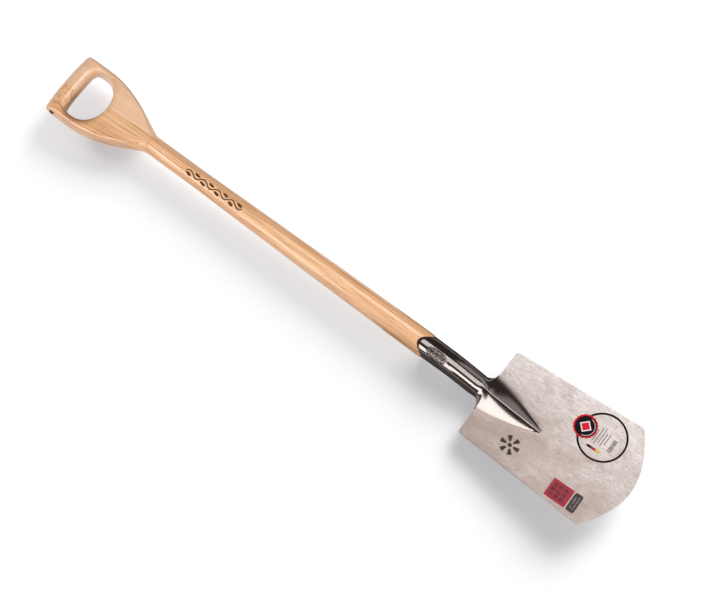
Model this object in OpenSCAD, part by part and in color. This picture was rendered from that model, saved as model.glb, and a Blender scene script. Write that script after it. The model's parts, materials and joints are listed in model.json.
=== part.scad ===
// Digging spade: a pressed steel blade with a closed socket, and an ash shaft with a D grip.
// The spade lies face up. X runs from the grip to the tip of the blade, Y across, Z up.
// The origin is under the middle of the spade's length, on the surface that it lies on.

/* [Overall] */
// Length from the outer side of the grip to the tip of the blade
overall_l = 1126; // [1000:1:1250]

/* [Blade] */
// Length of the blade from its shoulders to its tip
blade_l = 276; // [240:1:320]
// Width across the shoulders
shoulder_w = 166; // [140:1:190]
// Width across the bottom corners
bottom_w = 195; // [150:1:220]
// Depth of the curved bottom edge, from its corners to the tip
tip_bow = 41; // [20:1:60]
// Radius of the two shoulder corners
shoulder_r = 5; // [2:0.5:9]
// Thickness of the blade sheet
sheet_t = 2; // [1.4:0.1:2.6]
// Height of the side edges over the middle, at the shoulders
dish_top = 9; // [3:0.5:13]
// Height of the side edges over the middle, at the tip
dish_tip = 5; // [1:0.5:9]
// Angle at which the blade rises from the line of the shaft
crank = 6; // [2:0.5:10]
// Depth of the blade sheet below the axis of the shaft, at the shoulders
blade_drop = 12; // [8:0.5:16]

/* [Ridge] */
// Length of the raised ridge that runs down the blade from the socket
ridge_l = 110; // [80:1:140]
// Radius that rounds the crest of the ridge
crest_r = 1.6; // [0.8:0.1:4]
// Distance by which the hand-drawn ridge lies off the middle line
ridge_lean = 4; // [0:0.5:6]
// Radius of the curve between the socket and a shoulder
neck_r = 16; // [10:0.5:22]

/* [Socket] */
// Length of the socket's sides from its mouth to the shoulders
socket_l = 120; // [100:1:150]
// Outer diameter of the socket at its mouth
mouth_d = 40.4; // [37:0.1:41.5]
// Outer diameter of the socket at the neck
neck_d = 38.6; // [35:0.1:41]
// Length of the tongue that laps up the front of the shaft
tongue_l = 17; // [8:1:26]
// Half of the angle that the tongue spans round the shaft
tongue_a = 60; // [45:1:65]
// Angle by which the tongue sits off the top of the socket
tongue_turn = 20; // [0:1:25]
// Drop of the socket's middle line where it meets the blade
neck_dip = 7.5; // [4:0.5:10]
// Thickness of the strap that closes the back
strap_t = 1.8; // [1.2:0.1:2.4]
// Length by which the strap runs on past the ridge
strap_lap = 10; // [6:1:20]
// Gap along the seam between blade and strap
seam_gap = 0.15; // [0.1:0.05:0.4]

/* [Shaft] */
// Diameter of the shaft where it meets the socket
shaft_d = 42.6; // [41:0.1:45]
// Diameter of the shaft beside the grip
wrist_d = 31.8; // [28:0.1:36]
// Length of the straight part of the shaft beside the grip
wrist_l = 92; // [40:1:150]
// Depth of the tenon inside the closed part of the socket
tenon_l = 40; // [25:1:60]
// Gap between the wood and the steel around it
wood_gap = 0.3; // [0.2:0.05:0.6]

/* [Grip] */
// Width across the grip
grip_w = 112; // [100:1:130]
// Length of the grip from its outer side to the wrist
grip_l = 176; // [160:1:200]
// Thickness of the grip
grip_t = 31; // [26:0.5:34]
// Width of the crossbar that the hand closes around
bar_w = 31.5; // [28:0.5:36]
// Height of the bow in the outer side of the crossbar
bar_bow = 5.5; // [0:0.5:9]
// Length over which the wrist flares out to the full width
flare_l = 126; // [100:1:135]
// Radius of the long edges
edge_r = 5; // [3:0.5:8]
// Radius of the two outer corners
corner_r = 4.5; // [2:0.5:8]
// Width of the hand hole
hole_w = 90; // [80:1:94]
// Length of the hand hole
hole_l = 52; // [46:1:66]
// Angle of the glue line to the axis of the shaft
glue_angle = 4.4; // [3:0.1:6]
// Length by which the thin end of the glued cheek runs on into the round wrist
glue_run = 6; // [3:1:12]

/* [Fasteners] */
// Diameter of the steel pin along the crossbar
pin_d = 5; // [3:0.5:7]
// Length of the pin inside the wood
pin_l = 100; // [80:1:108]
// Diameter of the head of the pin
pin_head_d = 9; // [8:0.5:12]
// Height of the head of the pin
pin_head_h = 2.4; // [1.5:0.1:4]
// Gap around the shank of a pin or a screw
shank_gap = 0.1; // [0.05:0.05:0.3]
// Shank diameter of the two socket screws
screw_d = 4.5; // [3:0.5:6]
// Length of a socket screw below its head
screw_l = 18; // [12:1:24]
// Diameter of a socket screw's head
screw_head_d = 9; // [7.5:0.5:12]
// Height of a socket screw's head
screw_head_h = 2.2; // [1.5:0.1:3]
// Distance between the two socket screws
screw_pitch = 20; // [14:1:24]

/* [Labels] */
// Thickness of a label
label_t = 0.2; // [0.1:0.05:0.4]
// Gap between a label and what it is stuck to
label_gap = 0.12; // [0.1:0.02:0.3]
// Diameter of the round clear label
ring_d = 83; // [60:1:90]
// Distance of the round clear label from the shoulders
ring_x = 190; // [170:1:196]
// Distance of the round clear label's middle from the side edge of the blade
ring_in = 48.7; // [46:0.1:50]
// Diameter of the scalloped seal
seal_d = 41; // [30:1:48]
// Distance of the seal from the shoulders
seal_x = 158; // [140:1:165]
// Number of scallops round the seal
scallops = 20; // [12:1:28]
// Length of the square label
square_l = 38.5; // [28:0.5:42]
// Width of the square label and of the strip label
square_w = 34; // [24:1:36]
// Distance from the shoulders to the near edge of the square label
square_x = 166; // [150:1:175]
// Space between the side edge of the blade and both corner labels
square_in = 5.8; // [5:0.1:15]
// Length of the strip label
strip_l = 14.5; // [8:0.5:16]
// Space between the square label and the strip label
strip_space = 2.5; // [2:0.5:8]

/* [Hidden] */

// Everything is modelled from the point where the shaft's axis crosses the shoulder line,
// and moved to the spade's own frame at the end.
shoulder_x = overall_l / 2 - blade_l;
axis_z = max(neck_dip + neck_d / 2, shaft_d / 2, mouth_d / 2 + wood_gap + screw_head_h);
butt_x = blade_l - overall_l;

mouth_r = mouth_d / 2;
throat_r = neck_d / 2;
neck_hw = throat_r + neck_r;
tenon_end = tenon_l - socket_l;
blend_l = min(20, -tenon_end * 0.6);
screw_x = -socket_l + (tenon_l - screw_pitch) / 2;
bar_x = butt_x + bar_w / 2;
half_t = grip_t / 2;
wrist_r = wrist_d / 2;
// the paddle starts just outside the round wrist, so that the two surfaces cross cleanly
paddle_r = wrist_r + 0.15;
wrist_x = butt_x + grip_l;
hole_x = butt_x + bar_w + 16.8;
eps = 0.01;

function lerp(a, b, t) = a + (b - a) * t;
function clamp(v, lo, hi) = min(hi, max(lo, v));
function smooth(t) = let (c = clamp(t, 0, 1)) c * c * (3 - 2 * c);
function unit(v) = v / max(norm(v), 1e-9);

// Radius, middle line and outline of the socket and neck at a distance x from the shoulders
function socket_r(x) = lerp(mouth_r, throat_r, clamp(1 + x / socket_l, 0, 1));
function socket_mid(x) = -neck_dip * smooth(1 - x / tenon_end);
function neck_edge(x) = x < -neck_r ? socket_r(x)
    : socket_r(x) + neck_r - sqrt(max(0, neck_r * neck_r - pow(x + neck_r, 2)));
function neck_blend(x) = smooth(1 + x / blend_l);

// The plain dished sheet, without its ridge
function blade_hw(x) = lerp(shoulder_w, bottom_w, x / (blade_l - tip_bow)) / 2;
function sheet_z(x, y) = -blade_drop + x * tan(crank)
    + lerp(dish_top, dish_tip, clamp(x / blade_l, 0, 1)) * pow(y / blade_hw(max(x, 0)), 2);

// The ridge: a roof that narrows and sinks into the sheet, its feet eased into the sheet
function ridge_hw(x) = max(neck_hw * (1 - pow(clamp(x / ridge_l, 0, 1), 1.4)), eps);
function crest_z(x) = x <= 0 ? socket_mid(x) + socket_r(x)
    : lerp(socket_mid(0) + throat_r, sheet_z(ridge_l, 0), 1 - pow(1 - clamp(x / ridge_l, 0, 1), 0.85));
function crest_y(x) = -ridge_lean * smooth((x + neck_r * 1.4) / (neck_r * 2));
function foot_y(x) = -ridge_lean * smooth(x / ridge_l);
function roof(q) = let (f = 1 - 0.8 * q - 0.2 * q * q) (f + sqrt(f * f + 0.01)) / 2;
function soft_abs(y) = sqrt(y * y + crest_r * crest_r) - crest_r;
function ridge_q(x, y) = let (d = y - crest_y(x), side = d < 0 ? -1 : 1)
    soft_abs(d) / max(ridge_hw(x) + side * (foot_y(x) - crest_y(x)), eps);
function front_z(x, y) = sheet_z(x, y)
    + (x >= ridge_l ? 0 : (crest_z(x) - sheet_z(x, 0)) * roof(ridge_q(x, y)));

// Front face of the pressing, over the socket and neck: s runs from -1 to 1 around the tube
function neck_front(x, s) =
    let (b = neck_blend(x),
         y = neck_edge(x) * lerp(sin(90 * s), s, b) + crest_y(x) * (1 - abs(s)) * b)
    [x, y, lerp(socket_mid(x) + socket_r(x) * cos(90 * s), front_z(x, y), b)];

// Across the blade, the middle columns run along the ridge and the others fan out to the sides
function fan_hw(x) = ridge_hw(min(x, ridge_l * 0.86)) + max(0, x - ridge_l * 0.86) * 0.22;
function fan_y(x, side) = foot_y(x) + side * fan_hw(x);
function col_y(j, x) = let (k = j - side_n - neck_n, s = col_s(j))
    j < side_n ? lerp(fan_y(x, -1), -blade_hw(x), sin(90 * (side_n - j) / side_n))
    : k > 0 ? lerp(fan_y(x, 1), blade_hw(x), sin(90 * k / side_n))
    : lerp(crest_y(x), fan_y(x, s < 0 ? -1 : 1), abs(s));

// Each column starts on the shoulder line and ends on the curved bottom edge
function corner(d, r) = d <= 0 ? 0 : r - sqrt(max(0, r * r - d * d));
function top_x(j) = corner(abs(col_y(j, 0)) - shoulder_w / 2 + shoulder_r, shoulder_r);
function arc_x(y) = blade_l - tip_bow * pow(abs(y) * 2 / bottom_w, 1.9)
    - corner(abs(y) - bottom_w / 2 + 5, 9);
function bottom_x(j) = let (a = arc_x(col_y(j, blade_l - tip_bow)), b = arc_x(col_y(j, a)))
    arc_x(col_y(j, b));
function blade_front(u, j) = let (x = lerp(top_x(j), bottom_x(j), u), y = col_y(j, x))
    [x, y, front_z(x, y)];

// Columns of the blade mesh: the neck's own columns in the middle, the shoulders' outside
neck_n = 28;
side_n = 8;
cols_n = neck_n + 2 * side_n;
socket_rows = 4;
bend_rows = 7;
round_rows = 6;
blade_rows = 20;
split_row = socket_rows + bend_rows + round_rows;
rows_n = split_row + blade_rows;
function col_s(j) = (j - side_n) * 2 / neck_n - 1;

// Outline of the tongue at an angle around the socket
function tongue(angle, half) = let (a = 90 * (angle + tongue_turn) / half)
    abs(a) < 90 ? pow(cos(a), 1.2) : 0;

// A row may be a fraction, which is how the surface's slope is found
function row_x(i, s) =
    i <= socket_rows ? let (t = i / socket_rows)
        lerp(-socket_l - tongue_l * tongue(90 * s, tongue_a), tenon_end, pow(t, 0.8))
    : i <= socket_rows + bend_rows ? lerp(tenon_end, -neck_r, (i - socket_rows) / bend_rows)
    : neck_r * (sin(90 * clamp((i - socket_rows - bend_rows) / round_rows, 0, 1)) - 1);
function press_at(i, j) = i < split_row
    ? let (s = clamp(col_s(j), -1, 1)) neck_front(row_x(max(i, 0), s), s)
    : blade_front(pow(min(i - split_row, blade_rows) / blade_rows, 1.1), clamp(j, 0, cols_n));
function press_back(i, j) =
    let (d = 0.05, lo = i < split_row ? side_n : 0, hi = cols_n - lo,
         di = i == split_row && (j < side_n || j > side_n + neck_n) ? [0, 2 * d] : [-d, d],
         a = press_at(max(i + di[0], 0), j), b = press_at(min(i + di[1], rows_n), j),
         c = press_at(i, max(j - d, lo)), e = press_at(i, min(j + d, hi)))
    press_at(i, j) - sheet_t * unit(cross(b - a, e - c));

// Closed skin over a grid of front and back points, for the cells that keep() names
function grid_faces(rows, cols, keep) =
    let (w = cols + 1, n = (rows + 1) * w)
    [for (i = [0 : rows - 1], j = [0 : cols - 1]) if (keep(i, j))
        let (a = i * w + j, b = a + 1, c = a + w + 1, d = a + w)
        each concat([[a, b, c], [a, c, d], [n + a, n + c, n + b], [n + a, n + d, n + c]],
            keep(i - 1, j) ? [] : [[a, n + b, b], [a, n + a, n + b]],
            keep(i + 1, j) ? [] : [[d, n + c, n + d], [d, c, n + c]],
            keep(i, j - 1) ? [] : [[a, n + d, n + a], [a, d, n + d]],
            keep(i, j + 1) ? [] : [[b, n + c, c], [b, n + b, n + c]])];

module place() translate([shoulder_x, 0, axis_z]) children();

module blade() {
    inside = function (i, j) i >= 0 && i < rows_n && j >= 0 && j < cols_n
        && (i >= split_row || (j >= side_n && j < side_n + neck_n));
    front = [for (i = [0 : rows_n], j = [0 : cols_n]) press_at(i, j)];
    back = [for (i = [0 : rows_n], j = [0 : cols_n]) press_back(i, j)];
    color("lightgray") place()
        polyhedron(concat(front, back), grid_faces(rows_n, cols_n, inside), convexity = 8);
}

// Strap: a half tube at the socket that spreads into a spoon over the hollow of the ridge
strap_end = ridge_l + strap_lap;
strap_cols = 20;
strap_bend = 8;
strap_round = 14;
strap_n = strap_round + 12;
function strap_x(i) =
    i <= 2 ? lerp(-socket_l, tenon_end, i / 2)
    : i <= strap_bend ? lerp(tenon_end, -neck_r, (i - 2) / (strap_bend - 2))
    : i <= strap_round ? neck_r * (sin(90 * (i - strap_bend) / (strap_round - strap_bend)) - 1)
    : strap_end * sin(86 * (i - strap_round) / (strap_n - strap_round));
function edge_normal(x) = let (d = 0.02)
    unit(cross(neck_front(x + d, 1) - neck_front(x - d, 1), neck_front(x, 1) - neck_front(x, 1 - d)));
function neck_rim(x) = neck_front(x, 1) - sheet_t * edge_normal(x) - [0, 0, seam_gap];
function strap_hw(x) = x < 0 ? neck_rim(x)[1] : neck_hw * pow(1 - pow(x / strap_end, 2), 0.75);
function strap_rim_z(x, y) = x < 0 ? neck_rim(x)[2]
    : let (rim_y = y < 0 ? -strap_hw(x) : strap_hw(x))
        under_z(x, y) + front_z(x, rim_y) - sheet_z(x, rim_y);
function under_z(x, y) = sheet_z(x, y) - sheet_t * 1.1 - seam_gap;
function strap_low_z(x) = x <= 0 ? socket_mid(x) - socket_r(x) + strap_t
    : under_z(x, 0) - (under_z(0, 0) - strap_low_z(0)) * (1 - smooth(x / strap_end));
function strap_at(i, s) =
    let (x = min(strap_x(i), strap_end), b = neck_blend(x),
         y = strap_hw(x) * lerp(sin(90 * s), s, b),
         rim = strap_rim_z(x, y),
         tube_z = rim - (socket_r(x) - strap_t) * cos(90 * s),
         spoon_z = rim - (rim - strap_low_z(x)) * pow(1 - s * s, 1.7))
    [x, y, lerp(tube_z, spoon_z, b)];
function strap_out(i, s) =
    let (d = 0.02, a = strap_at(max(i - d, 0), s), b = strap_at(min(i + d, strap_n), s),
         c = strap_at(i, max(s - d, -1)), e = strap_at(i, min(s + d, 1)))
    strap_at(i, s) - strap_t * unit(cross(b - a, e - c));

module back_strap() {
    inside = function (i, j) i >= 0 && i < strap_n && j >= 0 && j < strap_cols;
    inner = [for (i = [0 : strap_n], j = [0 : strap_cols]) strap_at(i, j * 2 / strap_cols - 1)];
    outer = [for (i = [0 : strap_n], j = [0 : strap_cols]) strap_out(i, j * 2 / strap_cols - 1)];
    color("silver") place() difference() {
        polyhedron(concat(inner, outer), grid_faces(strap_n, strap_cols, inside), convexity = 6);
        for (k = [0, 1]) screw_hole(k);
    }
}

module screw_hole(k)
    translate([screw_x + k * screw_pitch, 0, -mouth_r - 4])
        cylinder(d = screw_d + 2 * shank_gap, h = screw_l + 5, $fn = 32);

// Domed head whose flat side lies at z = 0
module dome_head(d, h) {
    r = (d * d / 4 + h * h) / (2 * h);
    intersection() {
        translate([0, 0, r - h]) sphere(r, $fn = 64);
        translate([0, 0, -h - 1]) cylinder(d = d + 1, h = h + 1 + eps, $fn = 48);
    }
}

module socket_screw(k) {
    x = screw_x + k * screw_pitch;
    color("dimgray") place() translate([x, 0, -socket_r(x) - wood_gap]) {
        cylinder(d = screw_d, h = screw_l - 3, $fn = 32);
        translate([0, 0, screw_l - 3 - eps]) cylinder(d1 = screw_d, d2 = 1, h = 3, $fn = 32);
        dome_head(screw_head_d, screw_head_h);
    }
}

module screw_upper() socket_screw(0);
module screw_lower() socket_screw(1);

// Radius of the wood at a distance x from the shoulders
taper_x = wrist_x + wrist_l;
function shaft_r(x) = let (t = clamp((x - taper_x) / (-socket_l - 20 - taper_x), 0, 1))
    lerp(wrist_r, shaft_d / 2, 1 - pow(1 - t, 1.35));
function tenon_r(x) = socket_r(x) - max(sheet_t, strap_t) - wood_gap;

module turned(points) rotate([0, 90, 0]) rotate_extrude($fn = 96) polygon(points);

module shaft_round() {
    rows = 14;
    stop_x = -socket_l - wood_gap;
    xs = concat([wrist_x + glue_run], [for (i = [0 : rows]) lerp(taper_x, stop_x, i / rows)]);
    // the turned profile is drawn as radius against length, then laid along X
    turned(concat([[0, xs[0]]], [for (x = xs) [shaft_r(x), x]], [[0, stop_x]]));
    turned([[0, stop_x - 30], [tenon_r(-socket_l), stop_x - 30], [tenon_r(-socket_l), -socket_l],
        [tenon_r(tenon_end), tenon_end - 3], [tenon_r(tenon_end) - 3, tenon_end], [0, tenon_end]]);
}

// Recess in the front of the wood that the tongue of the socket lies in
module tongue_recess() {
    half = tongue_a + 115 * wood_gap / mouth_r;
    edge = [for (k = [-14 : 14]) let (a = half * k / 14 - tongue_turn)
        [-socket_l - (tongue_l + wood_gap) * tongue(a, half), (mouth_r + wood_gap) * sin(a)]];
    difference() {
        linear_extrude(shaft_d) polygon(concat([edge[0] + [1, 0]], edge, [edge[28] + [1, 0]]));
        turned([[0, -socket_l - 60], [tenon_r(-socket_l), -socket_l - 60],
            [tenon_r(-socket_l), -socket_l + 5], [0, -socket_l + 5]]);
    }
}

// Paddle: lofted along X from the round wrist to the wide grip, its outer side rounded over
corner_n = 7;
face_n = 6;
flare_rows = 17;
end_rows = 9;
paddle_rows = flare_rows + 2 + end_rows;
function flare(x) = let (t = clamp((wrist_x - x) / flare_l, 0, 1))
    wrist_r + (grip_w / 2 - wrist_r) * pow(sin(90 * t), 1.12);
function round_edge(x) = lerp(wrist_r, edge_r, smooth((wrist_x + glue_run - x) / 60));
function paddle_section(hw, ht, r) = let (c = min(r, ht * 0.98, hw * 0.98))
    concat([for (k = [0 : corner_n - 1]) let (a = 90 * k / (corner_n - 1))
               [hw - c + c * cos(a), ht - c + c * sin(a)]],
        [for (k = [1 : face_n - 1]) [lerp(hw - c, c - hw, k / face_n), ht]],
        [for (k = [0 : corner_n - 1]) let (a = 90 + 90 * k / (corner_n - 1))
               [c - hw + c * cos(a), ht - c + c * sin(a)]],
        [for (k = [0 : corner_n - 1]) let (a = 180 + 90 * k / (corner_n - 1))
               [c - hw + c * cos(a), c - ht + c * sin(a)]],
        [for (k = [1 : face_n - 1]) [lerp(c - hw, hw - c, k / face_n), -ht]],
        [for (k = [0 : corner_n - 1]) let (a = 270 + 90 * k / (corner_n - 1))
               [hw - c + c * cos(a), c - ht + c * sin(a)]]);
function paddle_row(i) =
    i == 0 ? [wrist_x + glue_run + 4, wrist_r - 1, wrist_r - 1, wrist_r, 0]
    : i <= flare_rows ? let (x = lerp(wrist_x + glue_run + 0.6, wrist_x - flare_l, (i - 1) / (flare_rows - 1)),
            ht = lerp(paddle_r, half_t, smooth((wrist_x - x) / 36)))
        [x, max(flare(x), ht), ht, round_edge(x), 0]
    : i <= flare_rows + 2 ? let (x = lerp(wrist_x - flare_l, bar_x, (i - flare_rows) / 2))
        [x, grip_w / 2, half_t, edge_r, (i - flare_rows) / 2]
    : let (a = 90 * (i - flare_rows - 2) / end_rows)
        [bar_x - bar_w / 2 * sin(a), grip_w / 2 - corner(corner_r - bar_w / 2 * (1 - sin(a)), corner_r),
            max(half_t * cos(a), 0.5), edge_r, 1];

function ring_faces(rows, n) = concat(
    [for (i = [0 : rows - 1], j = [0 : n - 1])
        let (a = i * n + j, b = i * n + (j + 1) % n) each [[a, b, b + n], [a, b + n, a + n]]],
    [[for (j = [n - 1 : -1 : 0]) j]], [[for (j = [0 : n - 1]) rows * n + j]]);

module paddle() {
    n = 4 * corner_n + 2 * (face_n - 1);
    points = [for (i = [0 : paddle_rows]) let (q = paddle_row(i))
        for (p = paddle_section(q[1], q[2], q[3]))
            [q[0] + q[4] * bar_bow * pow(p[0] / (grip_w / 2), 2), p[0], p[1]]];
    polyhedron(points, ring_faces(paddle_rows, n), convexity = 6);
}

// Hand hole: a D outline whose wall rolls over into both faces, most of all at the crossbar
hole_n = 44;
hole_levels = 10;
function hole_edge(a) = let (c = cos(a), s = sin(a), front = c > 0,
        rx = front ? hole_l - 16.8 : 16.8, p = front ? 1 : 0.42)
    [sign(c) * rx * pow(abs(c), p), sign(s) * hole_w / 2 * pow(abs(s), front ? 1 : p)];
function hole_normal(a) = let (t = hole_edge(a + 0.5) - hole_edge(a - 0.5)) unit([t[1], -t[0]]);
function hole_point(a, z) =
    let (p = hole_edge(a), m = hole_normal(a),
         r = lerp(edge_r, min(bar_w, grip_t) / 2 - 0.5, pow(max(0, -m[0]), 2)),
         over = clamp(abs(z) - (half_t - r), 0, r), o = r - sqrt(r * r - over * over))
    [hole_x + p[0] + m[0] * o + bow_at(p[1], p[0]), p[1] + m[1] * o, z];
function bow_at(y, dx) = dx < 0 ? bar_bow * pow(y / (grip_w / 2), 2) * smooth(-dx / 16.8) * 0.6 : 0;

module hand_hole() {
    points = [for (i = [0 : hole_levels])
        let (z = (half_t + 1) * sin(lerp(90, -90, i / hole_levels)))
        for (j = [0 : hole_n - 1]) hole_point(360 * j / hole_n, z)];
    polyhedron(points, ring_faces(hole_levels, hole_n), convexity = 6);
}

// Half space on the cheek's side of the glue line, up to the cheek's thin end
module cheek_side() {
    end_x = wrist_x + glue_run;
    translate([0, 0, -grip_w]) linear_extrude(2 * grip_w)
        polygon([[butt_x - 10, glue_y(butt_x - 10)], [end_x, glue_y(end_x)],
            [end_x, grip_w], [butt_x - 10, grip_w]]);
}
function glue_y(x) = 1 + (x - hole_x - 40) * tan(glue_angle);

module pin_hole()
    translate([bar_x, -grip_w, 0]) rotate([-90, 0, 0])
        cylinder(d = pin_d + 2 * shank_gap, h = grip_w / 2 + pin_l + shank_gap, $fn = 32);

module shaft() color("burlywood") place() difference() {
    union() {
        difference() {
            shaft_round();
            tongue_recess();
        }
        difference() {
            paddle();
            hand_hole();
            cheek_side();
        }
    }
    pin_hole();
    for (k = [0, 1]) screw_hole(k);
}

module grip_cheek() color("wheat") place() difference() {
    intersection() {
        paddle();
        cheek_side();
    }
    hand_hole();
    pin_hole();
}

module grip_pin() color("slategray") place()
    translate([bar_x, -grip_w / 2 - shank_gap, 0]) rotate([-90, 0, 0]) {
        cylinder(d = pin_d, h = pin_l, $fn = 32);
        dome_head(pin_head_d, pin_head_h);
    }

// Labels: thin sheets that follow the dished front of the blade
module stuck_on(lift, outline, cx, cy) {
    rings = 3;
    n = len(outline);
    function at(k, p, h) = let (x = cx + p[0] * k / rings, y = cy + p[1] * k / rings)
        [x, y, front_z(x, y) + h];
    low = lift + label_gap;
    points = concat([at(0, [0, 0], low), at(0, [0, 0], low + label_t)],
        [for (k = [1 : rings], p = outline) at(k, p, low)],
        [for (k = [1 : rings], p = outline) at(k, p, low + label_t)]);
    b = 2;
    t = 2 + rings * n;
    faces = concat(
        [for (j = [0 : n - 1]) [0, b + j, b + (j + 1) % n]],
        [for (j = [0 : n - 1]) [1, t + (j + 1) % n, t + j]],
        [for (k = [0 : rings - 2], j = [0 : n - 1]) let (a = k * n + j, c = k * n + (j + 1) % n)
            each [[b + a, b + c + n, b + c], [b + a, b + a + n, b + c + n],
                [t + a, t + c, t + c + n], [t + a, t + c + n, t + a + n]]],
        [for (j = [0 : n - 1]) let (a = (rings - 1) * n + j, c = (rings - 1) * n + (j + 1) % n)
            each [[b + a, t + c, b + c], [b + a, t + a, t + c]]]);
    polyhedron(points, faces, convexity = 4);
}

function disc(r, n) = [for (i = [0 : n - 1]) let (a = 360 * i / n) [r * cos(a), r * sin(a)]];
function wavy(r, n) = [for (i = [0 : 3 * n - 1]) let (a = 120 * i / n)
    (r - 1.2 * abs(sin(a * n / 2))) * [cos(a), sin(a)]];
function slab(l, w, r) = [for (q = [0 : 3], k = [0 : 4])
    let (a = 90 * q + 90 * k / 4, sx = q == 0 || q == 3 ? 1 : -1, sy = q < 2 ? 1 : -1)
    [sx * (l / 2 - r) + r * cos(a), sy * (w / 2 - r) + r * sin(a)]];

ring_y = blade_hw(ring_x) - ring_in;
square_y = blade_hw(square_x) - square_in - square_w;
module ring_label() color("whitesmoke") place() stuck_on(0, disc(ring_d / 2, 48), ring_x, ring_y);
module seal_label() color("firebrick") place()
    stuck_on(label_gap + label_t, wavy(seal_d / 2, scallops), seal_x, ring_y);
module square_label() color("tomato") place()
    stuck_on(0, slab(square_l, square_w, 0.8), square_x + square_l / 2, -square_y - square_w / 2);
module strip_label() color("dimgray") place()
    stuck_on(0, slab(strip_l, square_w, 3), square_x + square_l + strip_space + strip_l / 2,
        -square_y - square_w / 2);

blade();
back_strap();
shaft();
grip_cheek();
grip_pin();
screw_upper();
screw_lower();
ring_label();
seal_label();
square_label();
strip_label();
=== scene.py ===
import bpy, bmesh, json, math
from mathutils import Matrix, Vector

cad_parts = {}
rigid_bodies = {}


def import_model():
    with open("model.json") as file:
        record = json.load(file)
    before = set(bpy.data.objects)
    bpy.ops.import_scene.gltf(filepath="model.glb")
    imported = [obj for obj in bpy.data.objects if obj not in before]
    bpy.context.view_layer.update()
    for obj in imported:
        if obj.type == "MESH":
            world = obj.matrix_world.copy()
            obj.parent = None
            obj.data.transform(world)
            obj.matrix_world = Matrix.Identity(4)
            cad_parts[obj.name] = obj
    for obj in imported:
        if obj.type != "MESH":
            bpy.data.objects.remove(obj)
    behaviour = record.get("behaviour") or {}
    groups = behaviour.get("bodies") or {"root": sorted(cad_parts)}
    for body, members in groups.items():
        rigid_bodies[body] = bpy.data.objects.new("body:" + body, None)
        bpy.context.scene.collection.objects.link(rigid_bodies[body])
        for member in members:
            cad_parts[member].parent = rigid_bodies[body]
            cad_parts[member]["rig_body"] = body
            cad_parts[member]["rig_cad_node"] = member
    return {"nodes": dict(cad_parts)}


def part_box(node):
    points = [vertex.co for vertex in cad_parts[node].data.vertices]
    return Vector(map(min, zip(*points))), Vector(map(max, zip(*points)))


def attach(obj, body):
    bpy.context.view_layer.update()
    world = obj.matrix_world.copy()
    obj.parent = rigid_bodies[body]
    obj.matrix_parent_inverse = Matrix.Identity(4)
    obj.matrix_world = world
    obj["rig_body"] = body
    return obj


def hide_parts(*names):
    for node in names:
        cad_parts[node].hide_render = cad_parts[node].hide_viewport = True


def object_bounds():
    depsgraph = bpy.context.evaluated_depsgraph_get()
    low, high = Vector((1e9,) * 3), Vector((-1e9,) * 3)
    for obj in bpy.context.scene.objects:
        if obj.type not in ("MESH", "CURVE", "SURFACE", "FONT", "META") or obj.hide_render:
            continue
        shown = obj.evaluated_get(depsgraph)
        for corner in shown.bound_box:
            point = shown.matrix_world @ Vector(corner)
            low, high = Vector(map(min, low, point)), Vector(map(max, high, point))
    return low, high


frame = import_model()
cadLow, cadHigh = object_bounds()
nodes = frame["nodes"]
bpy.ops.object.select_all(action="DESELECT")  # the loaded parts come in selected
print("frame loaded:", ", ".join(sorted(nodes)))


# small helpers for selecting, copying and shaping

def grab(obj):
    bpy.ops.object.select_all(action="DESELECT")
    obj.select_set(True)
    bpy.context.view_layer.objects.active = obj


def applyMod(obj, kind, **settings):
    grab(obj)
    mod = obj.modifiers.new(kind.title(), kind)
    for key, value in settings.items():
        setattr(mod, key, value)
    bpy.ops.object.modifier_apply(modifier=mod.name)


def cutWith(obj, cutter, operation="DIFFERENCE", keepCutter=False):
    applyMod(obj, "BOOLEAN", object=cutter, operation=operation, solver="EXACT")
    if not keepCutter:
        bpy.data.objects.remove(cutter)


def copyOf(obj, name):
    twin = obj.copy()
    twin.data = obj.data.copy()
    twin.name = twin.data.name = name
    bpy.context.scene.collection.objects.link(twin)
    return twin


def named(name):
    obj = bpy.context.object
    obj.name = obj.data.name = name
    return obj


def smoothTo(obj, degrees):
    grab(obj)
    bpy.ops.object.shade_smooth_by_angle(angle=math.radians(degrees))


def lerp(a, b, t):
    return a + (b - a) * t


def clamp(v, lo, hi):
    return max(lo, min(hi, v))


def ease(t):
    t = clamp(t, 0, 1)
    return t * t * (3 - 2 * t)


def sinDeg(a):
    return math.sin(math.radians(a))


def cosDeg(a):
    return math.cos(math.radians(a))


# everything is drawn in millimetres from the point where the shaft's axis meets the shoulders
press = dict(
    length=276, shoulderWidth=166, bottomWidth=195, bottomBow=41, bowPower=1.9, cornerRadius=5,
    tipRadius=9, tipInset=5, sheet=2, dishTop=9, dishTip=5, crank=6, drop=12, ridgeLength=110,
    ridgeTaper=1.4, ridgeLean=4, leanStart=1.4, leanRun=2, crestRadius=1.6, crestFall=0.85,
    faceSlope=0.8, faceCurve=0.2, footSoft=0.01, fanStart=0.86, fanSpread=0.22, neckRadius=16,
    socketLength=120, mouthWidth=40.4, throatWidth=38.6, tongue=17, tongueHalf=60, tongueTurn=20,
    tonguePower=1.2, dip=7.5, tenonEnd=-80, blend=20, rimBevel=0.35, rimAngle=50, smoothAngle=45,
)
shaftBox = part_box("shaft")
originX = cadHigh[0] - press["length"] / 1000
originZ = (shaftBox[0][2] + shaftBox[1][2]) / 2


def place(p):
    return Vector((p[0] / 1000 + originX, p[1] / 1000, p[2] / 1000 + originZ))


# camera

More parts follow.
